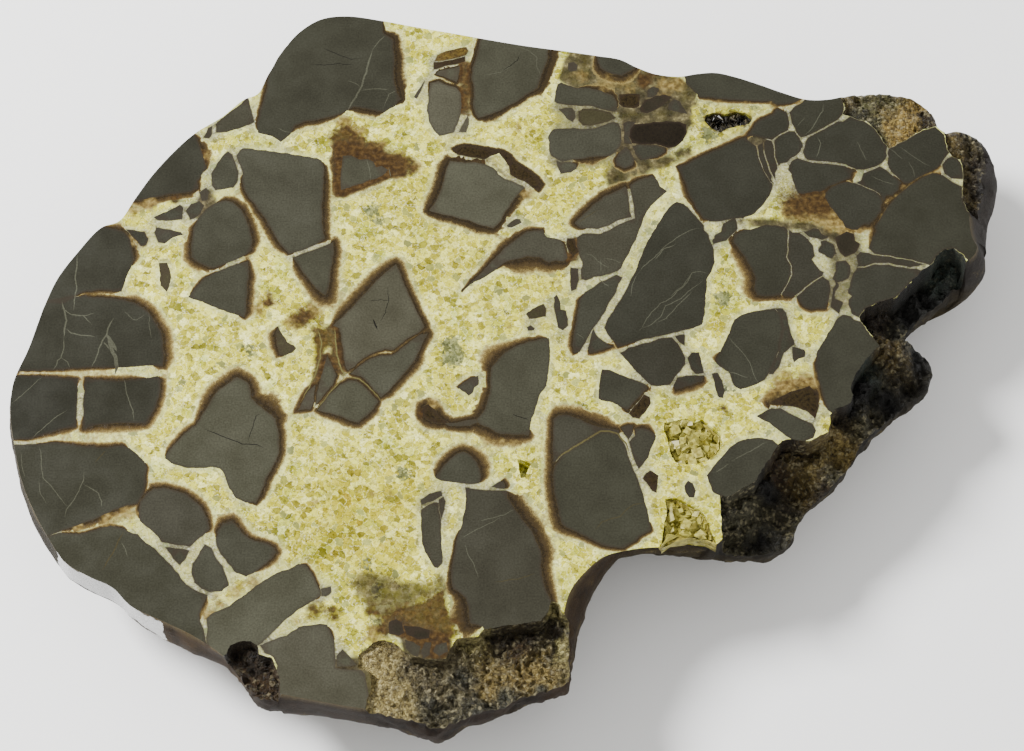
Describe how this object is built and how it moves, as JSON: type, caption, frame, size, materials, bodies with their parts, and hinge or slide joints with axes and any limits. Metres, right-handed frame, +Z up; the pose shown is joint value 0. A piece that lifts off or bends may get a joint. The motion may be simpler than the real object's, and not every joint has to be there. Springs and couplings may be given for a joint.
{
  "type": "septarian nodule half",
  "caption": "Sawn and polished half of a septarian nodule, dark mudstone blocks in cream calcite, lying on its rounded back, with crystal-lined hollows in the face.",
  "frame": {"origin": "on the ground under the middle of the sawn face, at the flat of the back", "axes": "+X along the longest extent of the sawn face, +Y across it, +Z up, out of the polished face"},
  "size_m": [0.3649, 0.2865, 0.05],
  "materials": {
    "stone": "dark grey-brown mudstone with cream calcite, polished on the face, dull on the back",
    "dogtooth_calcite": "grey-green dog-tooth calcite crust, slightly glossy",
    "honey_calcite": "clear honey-yellow calcite rhombs, glossy"
  },
  "bodies": {
    "root": {"nodule": "stone", "slot_crystals": "dogtooth_calcite", "honey_crystals": "honey_calcite", "brink_crystals": "honey_calcite"}
  },
  "joints": []
}
